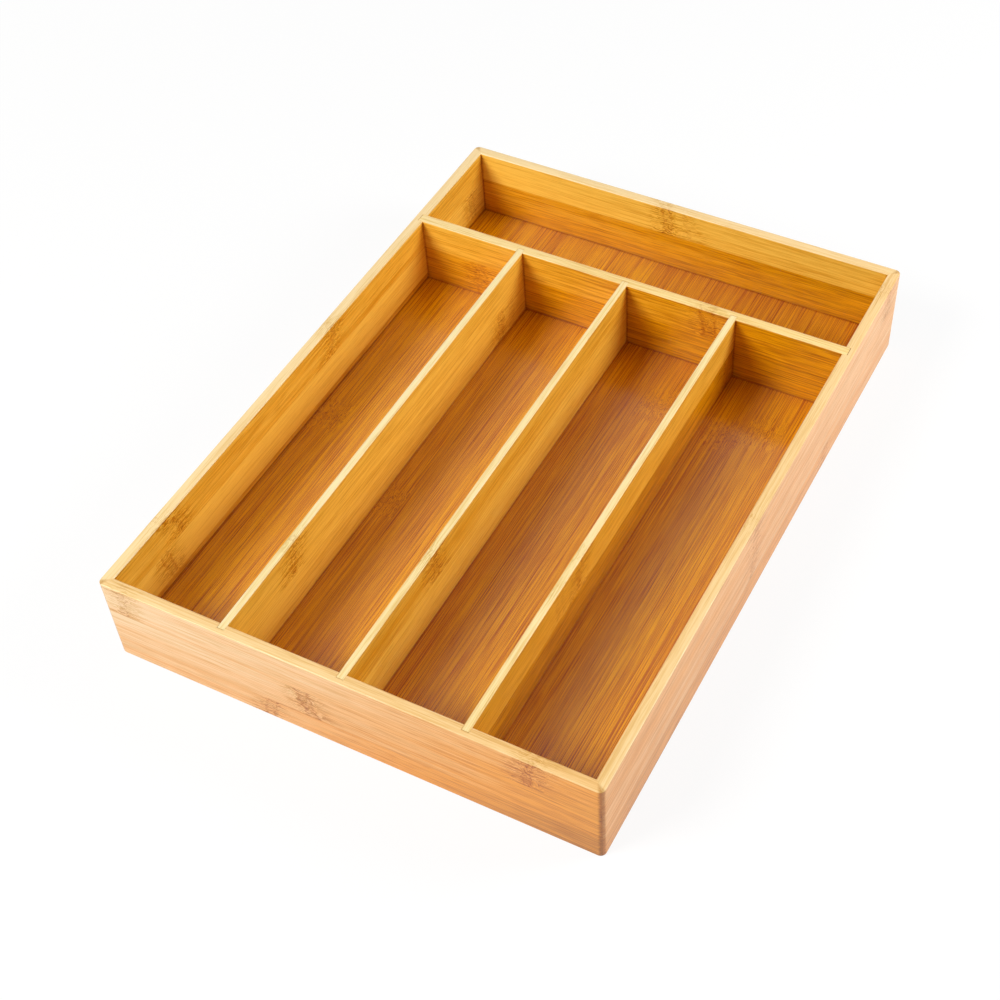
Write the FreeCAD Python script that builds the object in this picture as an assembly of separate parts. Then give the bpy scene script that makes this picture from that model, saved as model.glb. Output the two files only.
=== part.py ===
"""Bamboo drawer organizer: a mitred tray with four long bays and one cross bay.

Every board is glued up edge to edge from bamboo strips, as bamboo is too narrow to saw into
boards. Millimetres. X runs along the front board, Y to the back and Z up. The origin is the
centre of the footprint, at the level that the tray stands on.
"""
import FreeCAD, Part
import os

from FreeCAD import Vector

# Overall size
width = 254.0
length = 355.6
height = 50.8

# Frame boards
frame_thickness = 5.7
corner_radius = 3.0
arris_radius = 0.6

# Base panel, held in a groove round the inside of the frame
base_thickness = 5.7
base_lift = 5.7
groove_depth = 2.8
groove_side_play = 0.3
groove_top_play = 0.2

# Cross divider, which cuts off the bay at the back
cross_thickness = 5.7
back_bay_depth = 60.6
cross_end_housing = 2.8

# Long dividers, which share the rest out into equal bays
long_bays = 4
divider_thickness = 3.8
front_housing = 3.2
back_housing = 2.8
divider_arris_radius = 0.4

# Play left between the end of a divider and the end of the housing that holds it
housing_end_play = 0.3

# Bamboo strips: their full width, the least that a board is made up with, and how far
# below the rim the first glue line of each board lies
strip_width = 18.4
least_strip = 5.0
front_first_seam = 18.5
back_first_seam = 17.6
left_first_seam = 17.5
right_first_seam = 18.5
cross_first_seam = 17.8
divider_first_seams = [20.0, 17.5, 19.5]

divider_names = ["left_divider", "middle_divider", "right_divider"]

# Places that follow from the sizes above
half_width = width / 2
half_length = length / 2
inner_x = half_width - frame_thickness
inner_y = half_length - frame_thickness
floor_z = base_lift + base_thickness
cross_back_y = inner_y - back_bay_depth
cross_front_y = cross_back_y - cross_thickness
long_bay_width = (2 * inner_x - (long_bays - 1) * divider_thickness) / long_bays


def block(x_range, y_range, z_range):
    """A rectangular block between three pairs of limits."""
    corner = Vector(x_range[0], y_range[0], z_range[0])
    return Part.makeBox(
        x_range[1] - x_range[0],
        y_range[1] - y_range[0],
        z_range[1] - z_range[0],
        corner,
    )


def edges_where(shape, test):
    """The edges of a shape whose end points all pass a test."""
    return [edge for edge in shape.Edges if all(test(vertex.Point) for vertex in edge.Vertexes)]


def upright(edge):
    """Whether an edge runs straight up."""
    first, last = (vertex.Point for vertex in edge.Vertexes)
    return abs(first.x - last.x) < 1e-6 and abs(first.y - last.y) < 1e-6


def divider_range(index):
    """Where the long divider of that index, counted from the left, lies in X."""
    left = -inner_x + (index + 1) * long_bay_width + index * divider_thickness
    return left, left + divider_thickness


def seam_heights(bottom, top, first_seam):
    """Heights of the glue lines of a board, from the rim down, with its two edges."""
    heights = [top, top - first_seam]
    while heights[-1] - strip_width - bottom > least_strip:
        heights.append(heights[-1] - strip_width)
    heights.append(bottom)
    return heights


def cut_into_strips(board, name, bottom, first_seam):
    """Cut a board along its glue lines into strips, numbered from the rim down."""
    heights = seam_heights(bottom, height, first_seam)
    strips = {}
    for number, (top, low) in enumerate(zip(heights, heights[1:]), start=1):
        slab = block((-width, width), (-length, length), (low, top))
        strips[f"{name}_strip_{number}"] = board.common(slab)
    return strips


# Frame: a ring with rounded corners, eased arrises, a groove and the dividers' housings
def frame_ring():
    """The four boards in one, before they are parted at the mitres."""
    outside = block((-half_width, half_width), (-half_length, half_length), (0, height))
    corners = [edge for edge in outside.Edges if upright(edge)]
    outside = outside.makeFillet(corner_radius, corners)
    inside = block((-inner_x, inner_x), (-inner_y, inner_y), (0, height))
    ring = outside.cut(inside)
    rim = edges_where(ring, lambda point: abs(point.z - height) < 1e-6)
    foot = edges_where(ring, lambda point: abs(point.z) < 1e-6)
    return ring.makeFillet(arris_radius, rim + foot)


def base_groove():
    """What the saw takes out of the frame for the base panel."""
    return block(
        (-inner_x - groove_depth, inner_x + groove_depth),
        (-inner_y - groove_depth, inner_y + groove_depth),
        (base_lift, floor_z + groove_top_play),
    )


def front_housings():
    """Slots in the front board for the front ends of the long dividers."""
    y_range = (-inner_y - front_housing, -inner_y)
    return [block(divider_range(index), y_range, (floor_z, height)) for index in range(long_bays - 1)]


def side_housings():
    """Slots in the left and right boards for the ends of the cross divider."""
    y_range = (cross_front_y, cross_back_y)
    left = block((-inner_x - cross_end_housing, -inner_x), y_range, (floor_z, height))
    right = block((inner_x, inner_x + cross_end_housing), y_range, (floor_z, height))
    return [left, right]


def mitre_wedge(start, end, inward_at_start, inward_at_end):
    """A prism over one board: its outer edge, and a mitre cut at 45 degrees from each end."""
    reach = 2 * frame_thickness
    outline = [start, end, end + inward_at_end * reach, start + inward_at_start * reach, start]
    return Part.Face(Part.makePolygon(outline)).extrude(Vector(0, 0, height))


def frame_boards():
    """The strips of the four frame boards."""
    ring = frame_ring().cut(base_groove())
    for housing in front_housings() + side_housings():
        ring = ring.cut(housing)
    front_left = Vector(-half_width, -half_length, 0)
    front_right = Vector(half_width, -half_length, 0)
    back_right = Vector(half_width, half_length, 0)
    back_left = Vector(-half_width, half_length, 0)
    right_and_back = Vector(1, 1, 0)
    left_and_back = Vector(-1, 1, 0)
    sides = {
        "front_board": (front_left, front_right, right_and_back, left_and_back, front_first_seam),
        "right_board": (front_right, back_right, left_and_back, -right_and_back, right_first_seam),
        "back_board": (back_right, back_left, -right_and_back, -left_and_back, back_first_seam),
        "left_board": (back_left, front_left, -left_and_back, right_and_back, left_first_seam),
    }
    strips = {}
    for name, (start, end, inward_at_start, inward_at_end, first_seam) in sides.items():
        board = ring.common(mitre_wedge(start, end, inward_at_start, inward_at_end))
        strips.update(cut_into_strips(board, name, 0, first_seam))
    return strips


# Dividers: they stand on the base panel, flush with the rim, with their ends housed
def eased_divider(x_range, y_range, long_axis):
    """A divider board whose two long rim arrises are eased."""
    board = block(x_range, y_range, (floor_z, height))

    def along_rim(edge):
        """Whether an edge lies on the rim and runs along the board."""
        first, last = (vertex.Point for vertex in edge.Vertexes)
        on_rim = first.z > height - 1e-6 and last.z > height - 1e-6
        return on_rim and abs((last - first).normalize().dot(long_axis)) > 0.99

    rim = [edge for edge in board.Edges if along_rim(edge)]
    return board.makeFillet(divider_arris_radius, rim)


def cross_divider():
    """The strips of the cross divider, with a slot for the back end of each long divider."""
    end_x = inner_x + cross_end_housing - housing_end_play
    board = eased_divider((-end_x, end_x), (cross_front_y, cross_back_y), Vector(1, 0, 0))
    y_range = (cross_front_y, cross_front_y + back_housing)
    for index in range(long_bays - 1):
        board = board.cut(block(divider_range(index), y_range, (floor_z, height)))
    return cut_into_strips(board, "cross_divider", floor_z, cross_first_seam)


def long_dividers():
    """The strips of the long dividers."""
    front_y = -inner_y - front_housing + housing_end_play
    back_y = cross_front_y + back_housing - housing_end_play
    strips = {}
    for index in range(long_bays - 1):
        board = eased_divider(divider_range(index), (front_y, back_y), Vector(0, 1, 0))
        name = divider_names[index]
        strips.update(cut_into_strips(board, name, floor_z, divider_first_seams[index]))
    return strips


# Base panel: strips side by side, their ends and the outermost edges in the groove
def base_panel():
    """The strips of the base panel, numbered from the left."""
    panel_x = inner_x + groove_depth - groove_side_play
    panel_y = inner_y + groove_depth - groove_side_play
    count = round(2 * panel_x / strip_width)
    step = 2 * panel_x / count
    strips = {}
    for index in range(count):
        left = -panel_x + index * step
        strip = block((left, left + step), (-panel_y, panel_y), (base_lift, floor_z))
        strips[f"base_strip_{index + 1:02d}"] = strip
    return strips


def main():
    """Build every strip and write each to a file of its own."""
    pieces = {}
    for group in (frame_boards(), cross_divider(), long_dividers(), base_panel()):
        pieces.update(group)
    os.makedirs("parts", exist_ok=True)
    for name, shape in pieces.items():
        solid = shape.removeSplitter().Solids[0]
        solid.exportStep(f"parts/{name}.step")
        box = solid.BoundBox
        print(f"{name}: {box.XLength:.1f} x {box.YLength:.1f} x {box.ZLength:.1f}, {solid.Volume:.0f} mm3")
    print(f"{len(pieces)} pieces, long bay {long_bay_width:.2f} wide, floor at {floor_z:.1f}")


main()
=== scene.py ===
# %% [markdown]
# # A drawer organizer of laminated bamboo
#
# The tray is a mitred frame with a floor let into a groove, one cross divider and three long
# dividers. Bamboo cane is too narrow to saw into boards, so every board is glued up from
# strips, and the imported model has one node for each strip. It is loaded first, because every
# piece below has to stand exactly where its node stands.

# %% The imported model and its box
import math

import bpy
import numpy as np
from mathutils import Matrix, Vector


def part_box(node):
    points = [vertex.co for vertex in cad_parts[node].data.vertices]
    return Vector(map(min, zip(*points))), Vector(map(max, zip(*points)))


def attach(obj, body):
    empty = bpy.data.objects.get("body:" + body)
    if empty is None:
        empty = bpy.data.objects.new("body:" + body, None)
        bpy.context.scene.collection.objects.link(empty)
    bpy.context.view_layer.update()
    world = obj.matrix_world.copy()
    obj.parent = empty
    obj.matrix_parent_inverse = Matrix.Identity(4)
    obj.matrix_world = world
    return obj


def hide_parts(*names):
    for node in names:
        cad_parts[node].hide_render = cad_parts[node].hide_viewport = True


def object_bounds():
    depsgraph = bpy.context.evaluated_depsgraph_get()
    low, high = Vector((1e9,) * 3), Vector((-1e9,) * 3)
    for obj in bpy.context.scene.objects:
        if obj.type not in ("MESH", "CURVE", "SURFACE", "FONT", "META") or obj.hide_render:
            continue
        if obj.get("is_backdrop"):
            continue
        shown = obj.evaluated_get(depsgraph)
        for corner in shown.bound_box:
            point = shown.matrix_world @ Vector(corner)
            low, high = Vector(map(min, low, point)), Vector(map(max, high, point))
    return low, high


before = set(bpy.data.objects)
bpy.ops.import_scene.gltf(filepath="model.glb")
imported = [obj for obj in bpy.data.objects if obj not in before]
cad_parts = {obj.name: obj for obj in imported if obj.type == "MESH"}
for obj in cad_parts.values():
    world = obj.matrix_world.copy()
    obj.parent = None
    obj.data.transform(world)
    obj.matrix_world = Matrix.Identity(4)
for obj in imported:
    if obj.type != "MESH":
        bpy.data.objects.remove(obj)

scene = bpy.context.scene
cad_low, cad_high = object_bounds()
print("strips in the model:", len(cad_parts))
print("box of the tray in mm:", [round(1000 * side, 1) for side in cad_high - cad_low])

# %% [markdown]
# ## The camera
#
# The tray was photographed from its front right corner and from well above. The corners of
# the rim and of the foot were matched to one pinhole camera, which gave its place, its turn,
# its focal length and how far the picture was cropped off centre. The crop is Blender's
# shift, which moves the picture without changing the perspective.

# %% Camera
camera_place = (0.29260, -0.50585, 0.64132)
camera_turn_degrees = (40.293, 1.321, 26.834)
focal_length_mm = 61.227
picture_shift = (-0.06857, 0.04410)

camera_data = bpy.data.cameras.new("photo_camera")
camera_data.sensor_width = 36.0
camera_data.lens = focal_length_mm
camera_data.shift_x, camera_data.shift_y = picture_shift
camera_data.clip_start = 0.01
camera = bpy.data.objects.new("photo_camera", camera_data)
camera.location = camera_place
camera.rotation_euler = [math.radians(turn) for turn in camera_turn_degrees]
scene.collection.objects.link(camera)
scene.camera = camera
print("camera:", focal_length_mm, "mm lens,", round(camera.location.length, 2), "m from the tray")

# %% [markdown]
# ## Node trees in short
#
# A material in Blender is a tree of nodes. Writing out every node and link hides the idea, so
# this helper has one short call for each kind of node that the tray needs. A call takes
# either a number or the output of an earlier call.

# %% Helper for node trees
class Recipe:
    """Adds nodes to a tree. Each method makes one node and returns its output."""

    def __init__(self, tree):
        self.tree = tree
        self.tree.nodes.clear()

    def node(self, kind, **settings):
        """A node of that kind, with its settings."""
        made = self.tree.nodes.new(kind)
        for key, value in settings.items():
            setattr(made, key, value)
        return made

    def feed(self, socket, value):
        """Link an output to a socket, or set the socket's own value."""
        if isinstance(value, bpy.types.NodeSocket):
            self.tree.links.new(value, socket)
        else:
            socket.default_value = value

    def fed(self, made, *values):
        """Feed values to a node's first sockets, and return its first output."""
        for socket, value in zip(made.inputs, values):
            self.feed(socket, value)
        return made.outputs[0]

    def math(self, operation, first, second=0.0, clamp=False):
        """One sum on two numbers."""
        made = self.node("ShaderNodeMath", operation=operation, use_clamp=clamp)
        return self.fed(made, first, second)

    def vector(self, operation, first, second):
        """One sum on two vectors."""
        return self.fed(self.node("ShaderNodeVectorMath", operation=operation), first, second)

    def noise(self, place, detail=2.0, roughness=0.5):
        """Cloudy noise from 0 to 1, with lumps about one unit wide."""
        made = self.node("ShaderNodeTexNoise")
        self.feed(made.inputs["Vector"], place)
        made.inputs["Scale"].default_value = 1.0
        made.inputs["Detail"].default_value = detail
        made.inputs["Roughness"].default_value = roughness
        return made.outputs["Fac"]

    def fade(self, value, start, end, low=0.0, high=1.0):
        """A smooth step from low to high while the value goes from start to end."""
        made = self.node("ShaderNodeMapRange", interpolation_type="SMOOTHSTEP")
        return self.fed(made, value, start, end, low, high)

    def mix(self, share, first, second, mode="MIX"):
        """A mix of two colours. Its colour sockets are 6 and 7, and the output is 2."""
        made = self.node("ShaderNodeMix", data_type="RGBA", blend_type=mode)
        self.feed(made.inputs[0], share)
        self.feed(made.inputs[6], first)
        self.feed(made.inputs[7], second)
        return made.outputs[2]

    def attribute(self, name):
        """A vector that the mesh carries at its points, whole and in its three parts."""
        made = self.node("ShaderNodeAttribute", attribute_name=name)
        parts = self.node("ShaderNodeSeparateXYZ")
        self.tree.links.new(made.outputs["Vector"], parts.inputs[0])
        return made.outputs["Vector"], *parts.outputs

    def lens_rays(self):
        """1 for the rays that show the background, in the lens, in a gloss or through glass."""
        rays = self.node("ShaderNodeLightPath")
        shown = self.math("MAXIMUM", rays.outputs["Is Camera Ray"], rays.outputs["Is Glossy Ray"])
        return self.math("MAXIMUM", shown, rays.outputs["Is Transmission Ray"])

    def blend_shaders(self, share, first, second):
        """A mix of two shaders."""
        return self.fed(self.node("ShaderNodeMixShader"), share, first, second)


def paint(red, green, blue):
    """A colour given in a picture's 0 to 255 numbers, as the linear light that nodes use."""
    written = np.array([red, green, blue]) / 255
    linear = np.where(written <= 0.04045, written / 12.92, ((written + 0.055) / 1.055) ** 2.4)
    return (*linear.tolist(), 1.0)


print("a mid grey of 128 is", round(paint(128, 128, 128)[0], 3), "in linear light")

# %% [markdown]
# ## Light, table and background
#
# The photograph is a studio picture on pure white. One soft light stands at the front left: it
# leaves the left end of every bay in shade. A second one at the back right lights the sides
# that face right, and white all round fills the shadows. The background is plain white where
# the camera sees it, straight or in a reflection. What lights the tray is set apart from it,
# at a level where a colour comes out about as it is written. The table glows a little less
# near the tray, which leaves room for the tray's shadow, and as much as the background
# further out.

# %% World
pure_white = (1.0, 1.0, 1.0, 1.0)
fill_tint = (0.99, 0.995, 1.0, 1.0)
fill_strength = 0.25
world = bpy.data.worlds.new("white_studio")
scene.world = world
world.use_nodes = True
recipe = Recipe(world.node_tree)
backgrounds = []
for tint, strength in ((fill_tint, fill_strength), (pure_white, 1.0)):
    backgrounds.append(recipe.fed(recipe.node("ShaderNodeBackground"), tint, strength))
sky = recipe.blend_shaders(recipe.lens_rays(), *backgrounds)
recipe.feed(recipe.node("ShaderNodeOutputWorld").inputs[0], sky)
print("fill light:", fill_strength)

# %% Softboxes: place and width in metres, power in watts, tint
softboxes = {
    "front_left": ((-0.88, -1.22, 1.32), 0.95, 37.5, (1.0, 0.985, 0.96)),
    "back_right": ((0.82, 0.42, 0.54), 0.5, 7.5, (1.0, 1.0, 1.0)),
}
for name, (place, width, power, tint) in softboxes.items():
    data = bpy.data.lights.new(name, "AREA")
    data.shape = "DISK"
    data.size = width
    data.energy = power
    data.color = tint
    softbox = bpy.data.objects.new(name, data)
    softbox.location = place
    softbox.rotation_euler = softbox.location.to_track_quat("Z", "Y").to_euler()
    scene.collection.objects.link(softbox)
    print(name, "softbox:", power, "W,", round(softbox.location.length, 2), "m away")

# %% White table
table_width = 6.0
table_white = (0.93, 0.93, 0.93, 1.0)
glow_near_tray = 0.88
glow_rises_from = 0.4
full_glow_from = 1.2
corners = np.array([[-1, -1, 0], [1, -1, 0], [1, 1, 0], [-1, 1, 0]]) * table_width / 2
table_mesh = bpy.data.meshes.new("white_table")
table_mesh.from_pydata(corners.tolist(), [], [[0, 1, 2, 3]])
white_table = bpy.data.objects.new("white_table", table_mesh)
scene.collection.objects.link(white_table)
white_table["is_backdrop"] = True

table_paint = bpy.data.materials.new("white_table")
table_paint.use_nodes = True
table_mesh.materials.append(table_paint)
recipe = Recipe(table_paint.node_tree)
matt = recipe.fed(recipe.node("ShaderNodeBsdfDiffuse"), table_white)
glow = recipe.fed(recipe.node("ShaderNodeEmission"), pure_white)
place = recipe.node("ShaderNodeTexCoord").outputs["Object"]
distance = recipe.node("ShaderNodeVectorMath", operation="LENGTH")
recipe.feed(distance.inputs[0], place)
distance = distance.outputs["Value"]
table_glow = recipe.fade(distance, glow_rises_from, full_glow_from, glow_near_tray, 1.0)
share = recipe.math("MULTIPLY", recipe.lens_rays(), table_glow)
top = recipe.blend_shaders(share, matt, glow)
recipe.feed(recipe.node("ShaderNodeOutputMaterial").inputs[0], top)
print("table:", table_width, "m wide, as bright as the background from", full_glow_from, "m out")

# %% [markdown]
# ## The finish: sanded bamboo under a thin clear lacquer
#
# What makes bamboo look like bamboo is its fibres: thousands of thin, straight, dark bundles
# in a pale ground, all parallel, with no rings and no pores. Each strip has its own shade. At a
# knuckle the fibres sway, two ragged rows of short brown dashes cross the strip, and all of it
# stops dead at the glue line. The lacquer is satin. It warms the wood and reflects the white
# room a little. The inside corners carry painted shade, a darker line with a haze round it.
#
# The pattern is built from noise stretched along the fibres at several widths. It reads the
# place in the strip that the mesh carries, and not the place in the room, so every strip
# differs and the fibres turn with their board. Widths and distances are in millimetres.

# %% What the finish reads from the mesh
meanings = {
    "knuckle": ("from knuckle", "knuckle power", "knuckle width"),
    "edges": ("from seam", "from nook", "end grain"),
    "look": ("inside", "rim", "tan"),
}


def read_facts(recipe):
    """The attributes that a strip's points carry, taken apart and named."""
    facts = {"grain": recipe.attribute("grain")[0]}
    for name, parts in meanings.items():
        facts.update(zip(parts, recipe.attribute(name)[1:]))
    return facts


print("read besides the grain:", *meanings.values())

# %% [markdown]
# ### Fibres
#
# One kind of noise serves for all fibres. Stretched a little it gives broad bands of shade,
# and squeezed across the strip it gives streaks, bundles and hairs. Near a knuckle the place
# that the noise reads is pushed sideways first, so all four patterns sway together, as they
# do in the cane. A rim is only a few fibres wide, so a knuckle shows less there.

# %% Fibres: how noise is stretched along and across them, its detail and roughness
halo_reach = 15.0
full_halo_within = 2.0
halo_on_rim = 0.45
sway_stretch = (0.16, 0.22, 0.22)
sway_most = 5.0
fibre_widths = {
    "broad": (0.004, 0.16, 3.0, 0.5),
    "streaks": (0.018, 0.8, 3.0, 0.7),
    "bundles": (0.055, 1.5, 2.0, 0.6),
    "hairs": (0.080, 5.0, 1.0, 0.5),
}


def less_on_rim(recipe, facts, value, share):
    """The value, down to that share of itself on a rim."""
    on_rim = recipe.fade(facts["rim"], 0.0, 1.0, low=1.0, high=share)
    return recipe.math("MULTIPLY", value, on_rim)


def knuckle_halo(recipe, facts):
    """How much a knuckle disturbs the fibres: its power, fading with the distance from it."""
    near = recipe.fade(facts["from knuckle"], halo_reach, full_halo_within)
    halo = recipe.math("MULTIPLY", near, facts["knuckle power"])
    return less_on_rim(recipe, facts, halo, halo_on_rim)


def swayed_place(recipe, facts, halo):
    """The place in the strip, moved across the fibres by cloudy noise times the halo."""
    cloudy = recipe.vector("MULTIPLY", facts["grain"], sway_stretch)
    sway = recipe.math("SUBTRACT", recipe.noise(cloudy, detail=1.0), 0.5)
    sway = recipe.math("MULTIPLY", sway, halo)
    sideways = recipe.vector("ADD", (0, 0, 0), sway)
    sideways = recipe.vector("MULTIPLY", sideways, (0.0, sway_most, sway_most))
    return recipe.vector("ADD", facts["grain"], sideways)


def fibre_patterns(recipe, place, fibre_scale):
    """Four patterns: noise of the place, times little along the fibres and more across."""
    fine_along, fine_across = fibre_scale
    patterns = {}
    for name, (along, across, detail, roughness) in fibre_widths.items():
        stretch = (along * fine_along, across * fine_across, across * fine_across)
        stretched = recipe.vector("MULTIPLY", place, stretch)
        patterns[name] = recipe.noise(stretched, detail, roughness)
    return patterns


print("fibre patterns:", ", ".join(fibre_widths))

# %% [markdown]
# ### From pale ground to dark fibres
#
# The ground colour runs from light to tan. The walls' faces inside the bays are painted
# yellower and more saturated than the outside, as painted warm light bouncing between the
# walls, and the rim is the palest, so each of the three has a light and a tan of its own. A tan
# strip comes from near the bark, where the bundles crowd together, so its fibres show more, and
# least of all on a rim. Everything that is darker than the ground is multiplied onto it, as a
# stain would be.

# %% Ground colour and dark fibres
drift_most = 1.25
contrast_outside = 0.7
contrast_on_rim = 0.6
contrast_in_halo = 1.1
dark_parts = {"streaks": (0.49, 0.60), "bundles": (0.49, 0.62), "hairs": (0.38, 0.85)}


def ground_colour(recipe, facts, patterns, palette, unevenness):
    """The strip's tan plus the drift of the broad bands and streaks, as a colour.

    Up to a tan of 1 it is a mix of light and tan, and beyond that it is multiplied by deep.
    """
    drift = recipe.math("ADD", patterns["broad"], patterns["streaks"])
    drift = recipe.math("SUBTRACT", drift, 1.0)
    drift = recipe.math("MULTIPLY", drift, drift_most * unevenness)
    tone = recipe.math("ADD", facts["tan"], drift)
    shade = recipe.math("ADD", tone, 0.0, clamp=True)
    outer_face = recipe.mix(shade, palette["outer light"], palette["outer tan"])
    # On the walls the inner colours carry painted warm bounce light; on the floor they are its top.
    inner_face = recipe.mix(shade, palette["inner light"], palette["inner tan"])
    edge = recipe.mix(shade, palette["rim light"], palette["rim tan"])
    colour = recipe.mix(facts["inside"], outer_face, inner_face)
    very_tan = recipe.math("SUBTRACT", tone, 1.0, clamp=True)
    colour = recipe.mix(very_tan, colour, palette["deep"], "MULTIPLY")
    return recipe.mix(facts["rim"], colour, edge)


def dark_fibres(recipe, facts, patterns, halo, colour, palette, contrast):
    """The colour times the streak colour where a pattern is high, by the contrast.

    The contrast is least + more * tan, weaker outside and on a rim, stronger in the halo.
    """
    least, more = contrast
    depth = recipe.math("ADD", recipe.math("MULTIPLY", facts["tan"], more), least)
    inside = recipe.fade(facts["inside"], 0.0, 1.0, low=contrast_outside, high=1.0)
    depth = recipe.math("MULTIPLY", depth, inside)
    depth = less_on_rim(recipe, facts, depth, contrast_on_rim)
    in_halo = recipe.math("MULTIPLY", halo, contrast_in_halo - least)
    depth = recipe.math("ADD", depth, in_halo)
    for name, (start, end) in dark_parts.items():
        dark = recipe.fade(patterns[name], start, end)
        share = recipe.math("MULTIPLY", dark, depth, clamp=True)
        colour = recipe.mix(share, colour, palette["streak"], "MULTIPLY")
    return colour


print("dark parts of the fibres:", dark_parts)

# %% [markdown]
# ### Knuckles
#
# A knuckle is where the cane had a joint. Planed away, it leaves two ragged rows of short
# dashes, with paler wood between them. The rows lie at seven tenths of its half width on
# either side of its middle, and noise makes them ragged.

# %% Knuckles
row_place = 0.7
row_reach = 0.32
between_rows = 0.35
ragged_stretch = (0.10, 0.42, 0.42)
ragged_most = 7.0
dash_stretch = (0.65, 1.35, 1.35)
band_on_rim = 0.4


def knuckle_band(recipe, facts):
    """Strength of the knuckle: two rows beside its middle, and less between them.

    The distance from the middle is made ragged and divided by the knuckle's half width.
    """
    cloudy = recipe.vector("MULTIPLY", facts["grain"], ragged_stretch)
    ragged = recipe.math("SUBTRACT", recipe.noise(cloudy, detail=3.0, roughness=0.6), 0.5)
    ragged = recipe.math("MULTIPLY", ragged, ragged_most)
    ragged = recipe.math("ADD", facts["from knuckle"], ragged)
    share = recipe.math("DIVIDE", ragged, facts["knuckle width"])
    from_row = recipe.math("ABSOLUTE", recipe.math("SUBTRACT", share, row_place))
    rows = recipe.fade(from_row, row_reach, 0.05)
    between = recipe.fade(share, 1.1, 0.6, low=0.0, high=between_rows)
    band = recipe.math("MAXIMUM", rows, between)
    band = recipe.math("MULTIPLY", band, facts["knuckle power"])
    return less_on_rim(recipe, facts, band, band_on_rim)


def knuckle_dashes(recipe, place, band, colour, palette):
    """The colour times the knuckle colour, in short dashes along the fibres."""
    dashes = recipe.vector("MULTIPLY", place, dash_stretch)
    dashes = recipe.noise(dashes, detail=3.0, roughness=0.6)
    dashes = recipe.fade(dashes, 0.44, 0.58, low=0.18, high=1.0)
    share = recipe.math("MULTIPLY", band, dashes, clamp=True)
    return recipe.mix(share, colour, palette["knuckle"], "MULTIPLY")


print("a knuckle's marks wander by up to", ragged_most / 2, "mm")

# %% [markdown]
# ### Glue lines, painted shade in the inside corners, and end grain
#
# A glue line is thin, and shows in some places more than in others. The inside corners carry
# painted shade, as a dark line with a soft haze round it. The frame's rounded corners cut the
# fibres across, which shows as dark speckles.

# %% Edges and painted corner shade
glue_line_reach = 0.34
corner_shade_line_reach = 1.3
corner_shade_haze_reach = 9.0
glue_line_share = 0.5
corner_shade_line_share = 0.75
corner_shade_haze_share = 0.18
glue_cloud_stretch = (0.03, 0.03, 0.03)
speckle_stretch = (1.5, 2.6, 2.6)


def edges_and_corner_shade(recipe, facts, colour, palette):
    """The colour, darkened along the glue line, with painted shade by the inside corner.

    End grain is stained by the share that the mesh carries, times a speckle of noise.
    """
    cloudy = recipe.noise(recipe.vector("MULTIPLY", facts["grain"], glue_cloud_stretch), detail=1.0)
    strength = recipe.math("MULTIPLY", recipe.fade(cloudy, 0.30, 0.62), glue_line_share)
    seam = recipe.fade(facts["from seam"], glue_line_reach, 0.06)
    seam = recipe.math("MULTIPLY", seam, strength)
    colour = recipe.mix(seam, colour, palette["streak"], "MULTIPLY")
    # Painted shade in the inside corners: a dark line close in and a soft haze further out.
    line = recipe.fade(facts["from nook"], corner_shade_line_reach, 0.1)
    line = recipe.math("MULTIPLY", line, corner_shade_line_share)
    colour = recipe.mix(line, colour, palette["knuckle"], "MULTIPLY")
    haze = recipe.fade(facts["from nook"], corner_shade_haze_reach, 0.0)
    haze = recipe.math("MULTIPLY", haze, corner_shade_haze_share)
    colour = recipe.mix(haze, colour, palette["streak"], "MULTIPLY")
    speckle = recipe.noise(recipe.vector("MULTIPLY", facts["grain"], speckle_stretch), detail=2.0)
    speckle = recipe.fade(speckle, 0.35, 0.65, low=0.75, high=1.25)
    cut = recipe.fade(facts["end grain"], 0.05, 0.6)
    cut = recipe.math("MULTIPLY", cut, speckle, clamp=True)
    return recipe.mix(cut, colour, palette["end grain"], "MULTIPLY")


print("glue lines reach", glue_line_reach, "mm to either side")

# %% [markdown]
# ### Lacquer and finish
#
# The lacquer is satin, so reflections are soft. The fibres stand a few hundredths of a
# millimetre proud of the softer ground, which a bump gives, and the bundles and the knuckles
# are a little rougher. The finish takes the steps above in their order.

# %% Lacquer and finish
relief_in_metres = 0.00008
relief_strength = 0.6
bundle_relief = 0.4
hair_relief = 0.1
bundle_roughness = 0.16
knuckle_roughness = 0.10


def lacquer(recipe, patterns, band, colour, shine, least_roughness):
    """A satin shader. Roughness is the least plus a share of the bundles and the knuckle.

    The relief is the streaks with a little of the bundles and the hairs.
    """
    roughness = recipe.node("ShaderNodeMath", operation="MULTIPLY_ADD")
    roughness = recipe.fed(roughness, patterns["bundles"], bundle_roughness, least_roughness)
    rougher = recipe.math("MULTIPLY", band, knuckle_roughness)
    roughness = recipe.math("ADD", roughness, rougher)
    bundles = recipe.math("MULTIPLY", patterns["bundles"], bundle_relief)
    hairs = recipe.math("MULTIPLY", patterns["hairs"], hair_relief)
    relief = recipe.math("ADD", patterns["streaks"], bundles)
    relief = recipe.math("ADD", relief, hairs)
    bump = recipe.node("ShaderNodeBump")
    bump.inputs["Strength"].default_value = relief_strength
    bump.inputs["Distance"].default_value = relief_in_metres
    recipe.feed(bump.inputs["Height"], relief)
    shader = recipe.node("ShaderNodeBsdfPrincipled")
    shader.inputs["Specular IOR Level"].default_value = shine
    recipe.feed(shader.inputs["Base Color"], colour)
    recipe.feed(shader.inputs["Roughness"], roughness)
    recipe.feed(shader.inputs["Normal"], bump.outputs[0])
    return shader.outputs[0]


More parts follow.
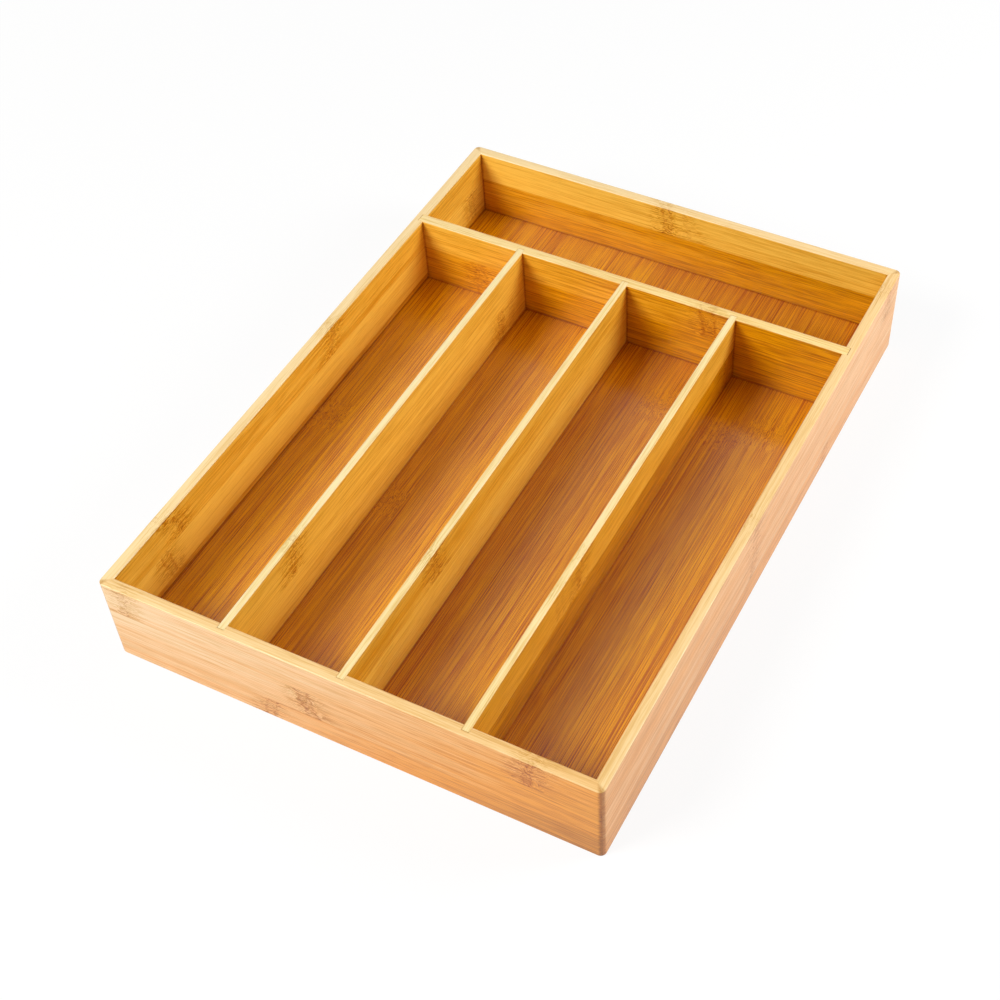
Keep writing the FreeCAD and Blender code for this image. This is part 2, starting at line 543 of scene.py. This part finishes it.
def bamboo(name, palette, contrast, fibre_scale, unevenness, shine, least_roughness):
    """A bamboo finish. palette holds colours for outside, inside and rim, light and tan.

    contrast is how dark the fibres are on the lightest strip, and how much darker on a tan
    one. fibre_scale is how fine they are, along and across. unevenness is how far the shade
    drifts. shine is how much the lacquer reflects, and least_roughness how blurred it is
    where it is smoothest.
    """
    finish = bpy.data.materials.new(name)
    finish.use_nodes = True
    recipe = Recipe(finish.node_tree)
    facts = read_facts(recipe)
    halo = knuckle_halo(recipe, facts)
    place = swayed_place(recipe, facts, halo)
    patterns = fibre_patterns(recipe, place, fibre_scale)
    colour = ground_colour(recipe, facts, patterns, palette, unevenness)
    colour = dark_fibres(recipe, facts, patterns, halo, colour, palette, contrast)
    band = knuckle_band(recipe, facts)
    colour = knuckle_dashes(recipe, place, band, colour, palette)
    colour = edges_and_corner_shade(recipe, facts, colour, palette)
    shader = lacquer(recipe, patterns, band, colour, shine, least_roughness)
    recipe.feed(recipe.node("ShaderNodeOutputMaterial").inputs[0], shader)
    print(name, "has", len(finish.node_tree.nodes), "nodes")
    return finish


# %% [markdown]
# ### Three finishes
#
# The frame and the dividers are of the same bamboo, but the thin rims of the dividers are
# paler. The floor is darker and redder, with finer and closer fibres and a smoother lacquer.
# Its outer colours are those of its underside.

# %% Three finishes
wall_palette = {
    "outer light": paint(235, 202, 160),
    "outer tan": paint(228, 151, 42),
    # Inside the walls the light and tan are yellower and more saturated than outside: painted warm
    # bounce light in the bays.
    "inner light": paint(255, 210, 90),
    "inner tan": paint(232, 165, 6),
    "rim light": paint(242, 214, 160),
    "rim tan": paint(235, 191, 126),
    "streak": (0.70, 0.55, 0.15, 1.0),
    "deep": (0.66, 0.66, 0.30, 1.0),
    "knuckle": (0.62, 0.37, 0.15, 1.0),
    "end grain": (0.66, 0.54, 0.36, 1.0),
}
divider_palette = {
    **wall_palette,
    "rim light": paint(242, 227, 180),
    "rim tan": paint(245, 212, 142),
}
floor_palette = {
    **wall_palette,
    "inner light": paint(252, 190, 6),
    "inner tan": paint(226, 153, 0),
    "outer light": paint(240, 184, 116),
    "outer tan": paint(222, 156, 86),
    "streak": (0.64, 0.39, 0.12, 1.0),
}
wall_settings = dict(
    contrast=(0.32, 0.40), fibre_scale=(1.0, 1.2), unevenness=0.8, shine=0.5, least_roughness=0.24
)
floor_settings = dict(
    contrast=(1.0, 0.0), fibre_scale=(0.5, 3.0), unevenness=0.3, shine=0.48, least_roughness=0.06
)
finishes = {
    "frame_bamboo": bamboo("frame_bamboo", wall_palette, **wall_settings),
    "divider_bamboo": bamboo("divider_bamboo", divider_palette, **wall_settings),
    "base_bamboo": bamboo("base_bamboo", floor_palette, **floor_settings),
}

# %% [markdown]
# ## A strip is a section carried along a line
#
# Every strip of the tray is made the same way: a saw or a moulder gives it one section from
# end to end, and then its ends are cut. So each one is modelled as a closed outline (depth,
# height) carried along the strip (along), ring after ring. Only two things break the plain
# run. A frame board ends in a mitre with a rounded outer corner, so its rings fan out there
# from 45 degrees to square. And where a divider is housed in a board, the inner side of the
# outline steps back, with two rings at the same place for the sharp shoulder.
#
# The whole strip is then one surface of two parameters, worked out as arrays. All sizes in
# these cells are in millimetres, and the place of each strip is read from its node.

# %% Boxes of the nodes in millimetres
def node_box(name):
    """Lowest and highest corner of a node, in millimetres."""
    low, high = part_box(name)
    return 1000 * np.array(low), 1000 * np.array(high)


tray_low = 1000 * np.array(cad_low)
tray_high = 1000 * np.array(cad_high)
cross_low, cross_high = node_box("cross_divider_strip_1")
long_divider_names = ["left_divider", "middle_divider", "right_divider"]
long_divider_boxes = [node_box(name + "_strip_1") for name in long_divider_names]
divider_faces = sorted(box[end][0] for box in long_divider_boxes for end in (0, 1))
floor_height = node_box("base_strip_01")[1][2]
board_thickness = cross_high[1] - cross_low[1]
inner = tray_high[:2] - board_thickness
print("floor at", round(float(floor_height), 2), "and dividers at", np.round(divider_faces, 2))

# %% Rings of a board
corner_radius = 3.0
ring_spacing = 2.0
fan_rings = 7
middle_advance = 1.2
inner_advance = 1.0
square_from = 12.0
square_end_margin = 1.0


def straight_rings(start, end, count, limit):
    """Rings square to the board: outer, middle and inner point at the same place along it."""
    along = np.linspace(start, end, count)
    level = np.ones_like(along)
    depths = (0.0, corner_radius, board_thickness)
    points = [np.stack([along, depth * level], 1) for depth in depths]
    return np.stack(points, 1), limit * level


def mitre_rings():
    """Rings at the start of a mitred board, fanning out from the mitre to square.

    The outer points walk an arc of the corner's radius r. While the angle goes from 45
    degrees to 0, along is r - r sin(angle) and depth is r - r cos(angle). The middle and
    inner points start on the mitre, where along equals depth, and advance evenly. Three more
    rings lie a quarter, a half and three quarters of the way to the first square one.
    """
    angle = np.linspace(math.pi / 4, 0, fan_rings)
    share = np.linspace(0, 1, fan_rings)
    level = np.ones(fan_rings)
    outer = corner_radius * np.stack([1 - np.sin(angle), 1 - np.cos(angle)], 1)
    middle = np.stack([corner_radius + middle_advance * share, corner_radius * level], 1)
    inner_side = np.stack([board_thickness + inner_advance * share, board_thickness * level], 1)
    fan = np.stack([outer, middle, inner_side], 1)
    first_square = straight_rings(square_from, square_from, 1, 0)[0][0]
    steps = np.linspace(0.25, 0.75, 3)[:, None, None]
    easing = fan[-1] + (first_square - fan[-1]) * steps
    return np.concatenate([fan, easing])


def board_rings(length, housings=(), housing_depth=0.0, mitred=True):
    """All rings of a board, with the depth that its inner side may reach at each.

    A housing is a pair of places along the board between which the inner side steps back.
    """
    ends = mitre_rings() if mitred else straight_rings(0.0, 0.0, 1, 0)[0]
    margin = square_from if mitred else square_end_margin
    stops = [margin] + [place for pair in housings for place in pair] + [length - margin]
    rings, limits = [ends], [np.full(len(ends), board_thickness)]
    for index, (start, end) in enumerate(zip(stops, stops[1:])):
        limit = board_thickness - housing_depth * (index % 2)
        count = 2 + int((end - start) / ring_spacing)
        run, run_limit = straight_rings(start, end, count, limit)
        rings.append(run)
        limits.append(run_limit)
    mirrored = ends[::-1].copy()
    mirrored[:, :, 0] = length - mirrored[:, :, 0]
    rings.append(mirrored)
    limits.append(np.full(len(ends), board_thickness))
    return np.concatenate(rings), np.concatenate(limits)


print("rings of a 254 mm board:", len(board_rings(254.0)[0]))

# %% Outline of a strip
arc_points = 5
face_spacing = 3.0
edge_insets = [0.0, 0.3, 0.8, 1.6, 2.6]


def face_levels(start, end, spacing=face_spacing):
    """Heights of the outline's points along a face, closer together near its two edges."""
    span = abs(end - start)
    inset = np.minimum(edge_insets, span / 2)
    count = 2 + max(0, int((span - 2 * edge_insets[-1]) / spacing))
    body = np.linspace(inset[-1], span - inset[-1], count)
    distance = np.unique(np.round(np.concatenate([inset, body, span - inset]), 4))
    return start + distance * np.sign(end - start)


def arris(depth, height, radius, first_angle):
    """A quarter circle round (depth, height), from first_angle on, in degrees."""
    angle = np.radians(first_angle + np.linspace(0, 90, arc_points))
    return np.stack([depth + radius * np.cos(angle), height + radius * np.sin(angle)], 1)


def face_points(depth, start, end, spacing=face_spacing):
    """Points up or down a face at that depth."""
    heights = face_levels(start, end, spacing)
    return np.stack([np.full_like(heights, depth), heights], 1)


def outline(low, high, thickness, foot_radius=0.0, rim_radius=0.0, groove=None):
    """A strip's section, counter-clockwise from the outer foot, as (depth, height) points.

    Depth 0 is the outer face. groove is (its bottom, its top, the depth it leaves).
    """
    inner_start, inner_end = low + foot_radius, high - rim_radius
    pieces = []
    if foot_radius:
        pieces.append(arris(foot_radius, low + foot_radius, foot_radius, 180))
        pieces.append(arris(thickness - foot_radius, low + foot_radius, foot_radius, 270))
    else:
        pieces.append(np.array([[0.0, low], [thickness, low]]))
    if groove:
        bottom, top, left = groove
        pieces.append(face_points(thickness, inner_start, bottom)[1:])
        pieces.append(np.array([[left, bottom], [left, top]]))
        pieces.append(face_points(thickness, top, inner_end))
    else:
        pieces.append(face_points(thickness, inner_start, inner_end)[1:])
    if rim_radius:
        pieces.append(arris(thickness - rim_radius, high - rim_radius, rim_radius, 0)[1:])
        pieces.append(arris(rim_radius, high - rim_radius, rim_radius, 90))
    else:
        pieces.append(np.array([[0.0, high]]))
    pieces.append(face_points(0.0, inner_end, inner_start)[1:-1])
    return np.concatenate(pieces)


print("points round a middle strip:", len(outline(13.9, 32.3, board_thickness)))

# %% Surface of a strip
rounding = 1e-6


def carried(rings, limits, section):
    """Every outline point on every ring, as (along, depth, height) arrays.

    The place in plan is read off the ring's three points: outer to middle for a depth up to
    the corner's radius, and middle to inner beyond it. From the floor's upper face up, the
    inner side stops at the ring's limit, which a housing makes smaller.
    """
    depth = np.broadcast_to(section[:, 0], (len(rings), len(section)))
    above_floor = section[:, 1] >= floor_height - rounding
    depth = np.where(above_floor, np.minimum(depth, limits[:, None]), depth)
    near = np.clip(depth / corner_radius, 0, 1)[..., None]
    far = np.clip((depth - corner_radius) / (board_thickness - corner_radius), 0, 1)[..., None]
    outer, middle, inner_side = (rings[:, None, index, :] for index in range(3))
    plan = outer + near * (middle - outer) + far * (inner_side - middle)
    height = np.broadcast_to(section[:, 1], depth.shape)
    return plan[..., 0], plan[..., 1], height


def closed_faces(ring_count, point_count):
    """Four-cornered faces between neighbouring rings, and one face over each end."""
    ring = np.arange(ring_count - 1)[:, None] * point_count
    point = np.arange(point_count)[None, :]
    following = (point + 1) % point_count
    next_ring = ring + point_count
    quads = np.stack([ring + point, ring + following, next_ring + following, next_ring + point], -1)
    start = np.arange(point_count)[::-1]
    end = np.arange(point_count) + (ring_count - 1) * point_count
    return quads.reshape(-1, 4), start, end


print("faces of 100 rings of 30 points:", len(closed_faces(100, 30)[0]) + 2)

# %% [markdown]
# ## From arrays to a mesh that remembers its wood
#
# A pattern that follows the wood needs to know where a point lies in its own strip: how far
# along the fibres, how far across and how deep. A plain object coordinate can't say that for
# four boards that point four ways. So each mesh carries this place at its points, in an
# attribute that the material reads, with a few more facts worked out here as arrays:
#
# - grain: the place in the strip, moved by a different amount for each strip
# - knuckle: distance along the fibres to the nearest knuckle, its strength and half width
# - edges: distance to the nearest glue line, to the nearest inside corner, and end grain
# - look: inner face, rim, and how tan the strip is there

# %% Knuckles of the cane
knuckle_reach = 40.0
usual_half_width = 4.0
nowhere_near = 99.0


def nearest_knuckle(along, across, knuckles):
    """Distance to the nearest knuckle, its strength and its half width.

    A knuckle is (place, slant, bow, strength, half width). It crosses the strip along
    place + slant * across + bow * across squared, as the cane's ring is seldom quite square.
    """
    best = np.full(along.shape, knuckle_reach)
    strength = np.zeros(along.shape)
    half_width = np.full(along.shape, usual_half_width)
    for place, slant, bow, power, width in knuckles:
        distance = np.abs(along - (place + slant * across + bow * across**2))
        closer = distance < best
        best = np.where(closer, distance, best)
        strength = np.where(closer, power, strength)
        half_width = np.where(closer, width, half_width)
    return np.stack([best, strength, half_width], -1)


def nearest_of(values, places):
    """Distance from each value to the nearest of the places."""
    gaps = [np.abs(values - place) for place in places]
    return np.min(gaps, 0) if gaps else np.full(values.shape, nowhere_near)


print("distances from a knuckle stop at", knuckle_reach, "mm")

# %% A strip as a Blender object
farthest_shift = 400
merge_steps_per_mm = 1e4
sharp_from_degrees = 32
draws = np.random.default_rng(7)
seeds = draws.uniform(-farthest_shift, farthest_shift, (len(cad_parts), 3))
strip_order = {name: index for index, name in enumerate(sorted(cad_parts))}


def live_faces(placed, quads, caps):
    """Merge points that lie in one place, and drop the sides and faces that this closes up.

    Returns the first of each group of merged points, the corners of all faces in one row,
    and the number of corners of each face.
    """
    keys = np.round(placed * merge_steps_per_mm).astype(np.int64)
    _, first, merged = np.unique(keys, axis=0, return_index=True, return_inverse=True)
    merged = merged.reshape(-1)
    quads = merged[quads]
    distinct = quads != np.roll(quads, -1, 1)
    live = distinct.sum(1) > 2
    corners, counts = [quads[live][distinct[live]]], [distinct.sum(1)[live]]
    for cap in caps:
        cap = merged[cap]
        cap = cap[cap != np.roll(cap, -1)]
        corners.append(cap)
        counts.append([len(cap)])
    return first, np.concatenate(corners), np.concatenate(counts)


def make_strip(node, points, origin, directions, attributes, slot_name):
    """Put a strip's surface into a mesh that replaces its node.

    points is (along, depth, height) of shape (rings, points). Each becomes
    origin + along * first + depth * second + height * third direction, in metres.
    """
    along, depth, height = points
    local = np.stack([along, depth, height], -1)
    placed = (np.asarray(origin) + local @ np.asarray(directions, float)).reshape(-1, 3)
    quads, *caps = closed_faces(*along.shape)
    first, corners, counts = live_faces(placed, quads, caps)
    mesh = bpy.data.meshes.new("bamboo_" + node)
    mesh.vertices.add(len(first))
    mesh.vertices.foreach_set("co", (placed[first] / 1000).astype(np.float32).ravel())
    mesh.loops.add(len(corners))
    mesh.loops.foreach_set("vertex_index", corners.astype(np.int32))
    mesh.polygons.add(len(counts))
    mesh.polygons.foreach_set("loop_start", (np.cumsum(counts) - counts).astype(np.int32))
    mesh.update(calc_edges=True)
    for name, values in attributes.items():
        layer = mesh.attributes.new(name, "FLOAT_VECTOR", "POINT")
        layer.data.foreach_set("vector", values.reshape(-1, 3)[first].astype(np.float32).ravel())
    mesh.polygons.foreach_set("use_smooth", np.ones(len(mesh.polygons), bool))
    mesh.set_sharp_from_angle(angle=math.radians(sharp_from_degrees))
    mesh.materials.append(finishes[slot_name])
    piece = bpy.data.objects.new("bamboo_" + node, mesh)
    scene.collection.objects.link(piece)
    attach(piece, "root")
    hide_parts(node)


print("a shift of its own for each of", len(seeds), "strips, up to", farthest_shift, "mm")

# %% [markdown]
# ## The frame: four mitred boards of three strips
#
# The boards meet in 45 degree mitres. Inside, a groove near the foot holds the floor, the
# front board is housed for the three long dividers, and the side boards for the cross
# divider. The housings are cut 0.3 mm deeper than the dividers reach, which leaves the small
# dark gaps that show on the rim.
#
# Each board runs counter-clockwise seen from above, so one set of directions (along, inwards,
# up) serves all four. Every strip has its shade at either end and its knuckles, which were
# measured on the photograph where it shows them. The shades are partly the wood's own tone and
# partly painted light and shade: the front board and its rim grow tanner to the right, the right
# board to the front and the back board's top strip to the right, with the fall of the lamps' light.

# %% Joinery sizes
housing_play = 0.3
groove_play = 0.3
groove_head_room = 0.2
frame_arris = 0.6
divider_arris = 0.4
base_low, base_high = node_box("base_strip_13")
divider_low, divider_high = long_divider_boxes[0]
front_housing = -inner[1] - divider_low[1] + housing_play
side_housing = cross_high[0] - inner[0] + housing_play
groove_left = board_thickness - (base_high[0] - inner[0] + groove_play)
groove = (base_low[2], floor_height + groove_head_room, groove_left)
print("housings:", round(float(front_housing), 2), "and", round(float(side_housing), 2), "mm")

# %% What every strip's points carry
corner_cap = 30.0
seam_cap = 3.0
tan_curve = 1.5
# The front rim grows tanner to the right partly as painted light falloff, like the face below it.
rim_tans = {
    "front_board_strip_1": (0.35, 1.0),
    "right_board_strip_1": (0.6, 0.5),
    "left_board_strip_1": (0.15, 0.15),
    "cross_divider_strip_1": (0.9, 0.75),
}


def inside_corner(from_stop, height, in_a_bay):
    """Distance to the nearest inside corner, with the floor or a piece standing here, for the
    painted shade.
    """
    nearest = np.minimum(from_stop, np.abs(height - floor_height))
    return np.where(in_a_bay, np.minimum(nearest, corner_cap), corner_cap)


def rim_share(height, arris):
    """0 on the faces and 1 on the rim, rising over the lower half of the eased arris."""
    return np.clip((height - (tray_high[2] - arris)) / (0.5 * arris), 0, 1)


def strip_facts(node, points, wood, nook, glued, end_grain, inside, rim):
    """The four attributes of a strip, from its points and its wood.

    wood is (tan at the start, tan at the end, knuckles), and the tan goes from the one to
    the other with the share of the length to the power of tan_curve. nook is the distance to
    the nearest inside corner, and glued are the heights of the strip's glue lines. A rim
    shows the strip's edge, which may be paler or darker than its faces.
    """
    along, depth, height = points
    seed = seeds[strip_order[node]]
    middle = (height.min() + height.max()) / 2
    share = ((along - along.min()) / np.ptp(along)) ** tan_curve
    tan = wood[0] + (wood[1] - wood[0]) * share
    rim_wood = rim_tans.get(node, wood[:2])
    tan = tan + (rim_wood[0] + (rim_wood[1] - rim_wood[0]) * share - tan) * rim
    from_seam = np.minimum(nearest_of(height, glued), seam_cap)
    return {
        "grain": np.stack([along, height, depth], -1) + seed,
        "knuckle": nearest_knuckle(along, height - middle, wood[2]),
        "edges": np.stack([from_seam, nook, end_grain], -1),
        "look": np.stack([inside, rim, tan], -1),
    }


print("strips whose rim has its own tan:", len(rim_tans))

# %% Wood of the frame's strips, from the rim down
# Tans that grow along the front, right and back boards are partly painted light falloff.
frame_wood_and_painted_light = {
    "front_board": [
        (0.12, 1.1, [(12, 0.1, 0.0, 0.6, 2.4), (219, 0.15, 0.01, 1.0, 2.2)]),
        (0.2, 1.35, [(107, -0.2, 0.01, 0.9, 4.0)]),
        (0.35, 1.7, [(86, 0.3, 0.0, 0.7, 3.5)]),
    ],
    "right_board": [
        (0.85, 0.6, [(161, 0.1, 0.0, 0.45, 3.0), (338, 0.0, 0.0, 0.6, 3.0)]),
        (0.8, 0.65, [(161, 0.1, 0.0, 0.4, 3.5)]),
        (1.2, 0.75, [(255, 0.2, 0.0, 0.4, 3.5)]),
    ],
    "back_board": [
        (0.2, -0.1, [(132, 0.1, 0.01, 0.9, 3.0), (120, 0.3, 0.0, 0.4, 1.5)]),
        (1.15, 0.8, []),
        (1.3, 1.0, []),
    ],
    "left_board": [
        (0.4, 0.4, [(304, 0.5, 0.06, 0.9, 1.8), (166, -0.4, 0.03, 0.8, 1.8)]),
        (0.0, -0.2, [(316, 0.2, 0.0, 0.8, 3.5), (20, 0.1, 0.0, 0.6, 3.5)]),
        (0.8, 0.8, []),
    ],
}
print("boards described:", len(frame_wood_and_painted_light))

# %% Where the boards stand
west, south = tray_low[:2]
east, north = tray_high[:2]
divider_pairs = list(zip(divider_faces[0::2], divider_faces[1::2]))
front_pairs = [(start - west, end - west) for start, end in divider_pairs]
right_pairs = [(cross_low[1] - south, cross_high[1] - south)]
left_pairs = [(north - cross_high[1], north - cross_low[1])]
up = (0, 0, 1)
boards = {
    "front_board": ((west, south, 0), ((1, 0, 0), (0, 1, 0), up), front_pairs, front_housing),
    "right_board": ((east, south, 0), ((0, 1, 0), (-1, 0, 0), up), right_pairs, side_housing),
    "back_board": ((east, north, 0), ((-1, 0, 0), (0, -1, 0), up), [], 0.0),
    "left_board": ((west, north, 0), ((0, -1, 0), (1, 0, 0), up), left_pairs, side_housing),
}
print("housings in the front board:", len(front_pairs))

# %% Frame boards
outer_skin = 1.0
at_an_edge = 0.1
near_floor = 0.5
for board, (origin, directions, pairs, housing_depth) in boards.items():
    length = float(np.abs(np.dot(directions[0], tray_high - tray_low)))
    rings, limits = board_rings(length, pairs, housing_depth)
    # The cosine of the corner's turn is 1 - depth / radius, and its sine is the end grain.
    cosine = 1 - rings[:, 0, 1] / corner_radius
    turned = np.sqrt(np.clip(1 - cosine**2, 0, 1))
    ends = [board_thickness, length - board_thickness]
    stops = ends + [place for pair in pairs for place in pair]
    for number, wood in enumerate(frame_wood_and_painted_light[board], 1):
        node = f"{board}_strip_{number}"
        low, high = (corner[2] for corner in node_box(node))
        foot_radius = frame_arris if number == 3 else 0.0
        rim_radius = frame_arris if number == 1 else 0.0
        strip_groove = groove if number == 3 else None
        section = outline(low, high, board_thickness, foot_radius, rim_radius, strip_groove)
        points = carried(rings, limits, section)
        height = points[2]
        inside = np.broadcast_to(section[:, 0] > board_thickness / 2, height.shape)
        rim = rim_share(height, frame_arris)
        outer = np.broadcast_to(section[:, 0] < outer_skin, height.shape)
        end_grain = turned[:, None] * outer
        glued = [edge for edge in (low, high) if at_an_edge < edge < tray_high[2] - at_an_edge]
        in_a_bay = inside & (height > floor_height - near_floor) & (rim < 0.5)
        # The distance to the inside corners, where the finish paints shade.
        nook = inside_corner(nearest_of(points[0], stops), height, in_a_bay)
        facts = strip_facts(node, points, wood, nook, glued, end_grain, inside, rim)
        make_strip(node, points, origin, directions, facts, "frame_bamboo")
    print(board, "of", round(length, 1), "mm:", len(rings), "rings")

# %% [markdown]
# ## Dividers
#
# The cross divider is as thick as the frame, the long ones are thinner. They stand on the
# floor, flush with the rim, and their two rim arrises are eased. The cross divider is turned
# so that its inner side, the one with the housings, faces the long bays. Both sides of a
# divider stand free, so the painted corner shade falls at its two ends on both of them, and at
# a housing only on its own side.

# %% Wood of the dividers' strips, from the rim down
# The cross divider grows tanner to its right end and the right divider's lower strip is very tan:
# partly the wood's tone, partly painted shade for the light falling off away from the front-left
# lamp and for the shade low in the rightmost bay.
divider_wood_and_painted_light = {
    "cross_divider": [
        (1.15, 0.3, [(75, 0.1, 0.01, 0.9, 5.0)]),
        (1.3, 0.9, [(210, 0.1, 0.01, 0.55, 4.5)]),
    ],
    "left_divider": [
        (0.25, 0.3, [(53, 0.3, 0.02, 0.9, 2.0)]),
        (0.15, 0.2, [(253, 0.1, 0.0, 0.8, 3.0), (265, 0.0, 0.0, 0.3, 3.0)]),
    ],
    "middle_divider": [
        (0.55, 0.4, [(78, -0.2, 0.02, 0.9, 2.4)]),
        (0.15, 0.25, []),
    ],
    "right_divider": [
        (0.6, 0.35, [(102, 0.3, 0.02, 0.7, 2.0), (83, 0.0, 0.0, 0.3, 4.0)]),
        (1.5, 1.4, [(272, 0.1, 0.0, 0.5, 3.0)]),
    ],
}
print("dividers described:", len(divider_wood_and_painted_light))

# %% Where the dividers stand
turned_round = ((-1, 0, 0), (0, -1, 0), up)
lengthwise = ((0, 1, 0), (-1, 0, 0), up)
cross_pairs = [(cross_high[0] - end, cross_high[0] - start) for start, end in divider_pairs[::-1]]
cross_housing = divider_high[1] - cross_low[1] + housing_play
cross_ends = [cross_high[0] - inner[0], cross_high[0] + inner[0]]
cross_origin = (*cross_high[:2], 0)
dividers = {"cross_divider": (cross_origin, turned_round, cross_pairs, cross_housing, cross_ends)}
for name, (low, high) in zip(long_divider_names, long_divider_boxes):
    long_ends = [-inner[1] - low[1], cross_low[1] - low[1]]
    dividers[name] = ((high[0], low[1], 0), lengthwise, [], 0.0, long_ends)
print("housings in the cross divider:", round(float(cross_housing), 2), "mm deep")

# %% Dividers
for name, (origin, directions, pairs, housing_depth, ends) in dividers.items():
    low, high = node_box(name + "_strip_1")
    length, thickness = np.abs(np.array(directions[:2]) @ (high - low))
    stops = ends + [place for pair in pairs for place in pair]
    rings, limits = board_rings(length, pairs, housing_depth, mitred=False)
    for number, wood in enumerate(divider_wood_and_painted_light[name], 1):
        node = f"{name}_strip_{number}"
        low, high = (corner[2] for corner in node_box(node))
        rim_radius = divider_arris if number == 1 else 0.0
        section = outline(low, high, thickness, 0.0, rim_radius)
        points = carried(rings, limits, section)
        along, depth, height = points
        housed_side = depth > thickness / 2
        from_stop = np.where(housed_side, nearest_of(along, stops), nearest_of(along, ends))
        rim = rim_share(height, divider_arris)
        inside = np.ones(height.shape)
        glued = [low if number == 1 else high]
        # The distance to the inside corners, where the finish paints shade.
        nook = inside_corner(from_stop, height, rim < 0.5)
        facts = strip_facts(node, points, wood, nook, glued, 0 * height, inside, rim)
        make_strip(node, points, origin, directions, facts, "divider_bamboo")
    print(name, "of", round(float(length), 1), "mm:", len(rings), "rings")

# %% [markdown]
# ## The floor
#
# The floor is a panel of thirteen strips, glued edge to edge, that run from front to back.
# Here the section lies flat: its depth runs up from the underside, and its height runs across
# the tray. The inside corners, where the finish paints shade, are measured from every wall and
# divider that stands on it.

# %% Wood of the floor's strips, from left to right
# Strips on the right are on the whole tanner, and most grow tanner towards the back: partly the
# floor's own tone, partly painted shade for the light falling off away from the front-left lamp and
# for the back bay.
base_wood_and_painted_light = [
    (-0.1, -0.1, [(163, 0.1, 0.0, 0.6, 2.4)]),
    (0.3, 0.3, []),
    (0.4, 0.45, []),
    (0.3, 0.4, [(125, 0.2, 0.0, 0.6, 2.4)]),
    (0.6, 0.3, []),
    (0.2, 0.3, []),
    (0.8, 0.85, []),
    (0.5, 0.75, []),
    (0.3, 0.95, [(243, 0.2, 0.0, 0.6, 2.4)]),
    (0.8, 0.95, []),
    (0.6, 0.7, [(238, 0.1, 0.0, 0.45, 2.4)]),
    (0.15, 0.5, [(248, 0.1, 0.0, 0.4, 2.4)]),
    (0.3, 0.75, []),
]
print("strips described:", len(base_wood_and_painted_light))

# %% Floor strips
laid_flat = ((0, 1, 0), (0, 0, 1), (1, 0, 0))
floor_spacing = 1.0
for number, wood in enumerate(base_wood_and_painted_light, 1):
    node = f"base_strip_{number:02d}"
    low, high = node_box(node)
    rings, limits = board_rings(high[1] - low[1], mitred=False)
    thickness = high[2] - low[2]
    under = np.array([[0.0, low[0]], [thickness, low[0]]])
    top_face = face_points(thickness, low[0], high[0], floor_spacing)[1:]
    back_down = face_points(0.0, high[0], low[0])[:-1]
    section = np.concatenate([under, top_face, back_down])
    points = carried(rings, limits, section)
    along, depth, across = points
    place_y = along + low[1]
    on_top = depth > thickness / 2
    # Distances to the walls and dividers, for the painted corner shade on the floor.
    nook = np.minimum(inner[0] - np.abs(across), inner[1] - np.abs(place_y))
    nook = np.minimum(nook, nearest_of(place_y, [cross_low[1], cross_high[1]]))
    beside = place_y < cross_low[1]
    from_divider = np.where(beside, nearest_of(across, divider_faces), corner_cap)
    nook = np.clip(np.minimum(nook, from_divider), 0.0, corner_cap)
    nook = np.where(on_top, nook, corner_cap)
    glued = [edge for edge in (low[0], high[0]) if abs(edge) < base_high[0] - at_an_edge]
    facts = strip_facts(node, points, wood, nook, glued, 0 * depth, on_top, 0 * depth)
    make_strip(node, points, (0, low[1], low[2]), laid_flat, facts, "base_bamboo")
print("a strip of the floor is about", round(float(high[0] - low[0]), 2), "mm wide")

# %% [markdown]
# ## Sizes and finish
#
# The picture uses Blender's plain view transform, so that a colour comes out as it is
# written. The box of the pieces is written beside the CAD box, and the two have to agree.

# %% View settings and boxes
scene.view_settings.view_transform = "Standard"
low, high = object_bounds()
print("box of the pieces in mm:", [round(1000 * side, 1) for side in high - low])
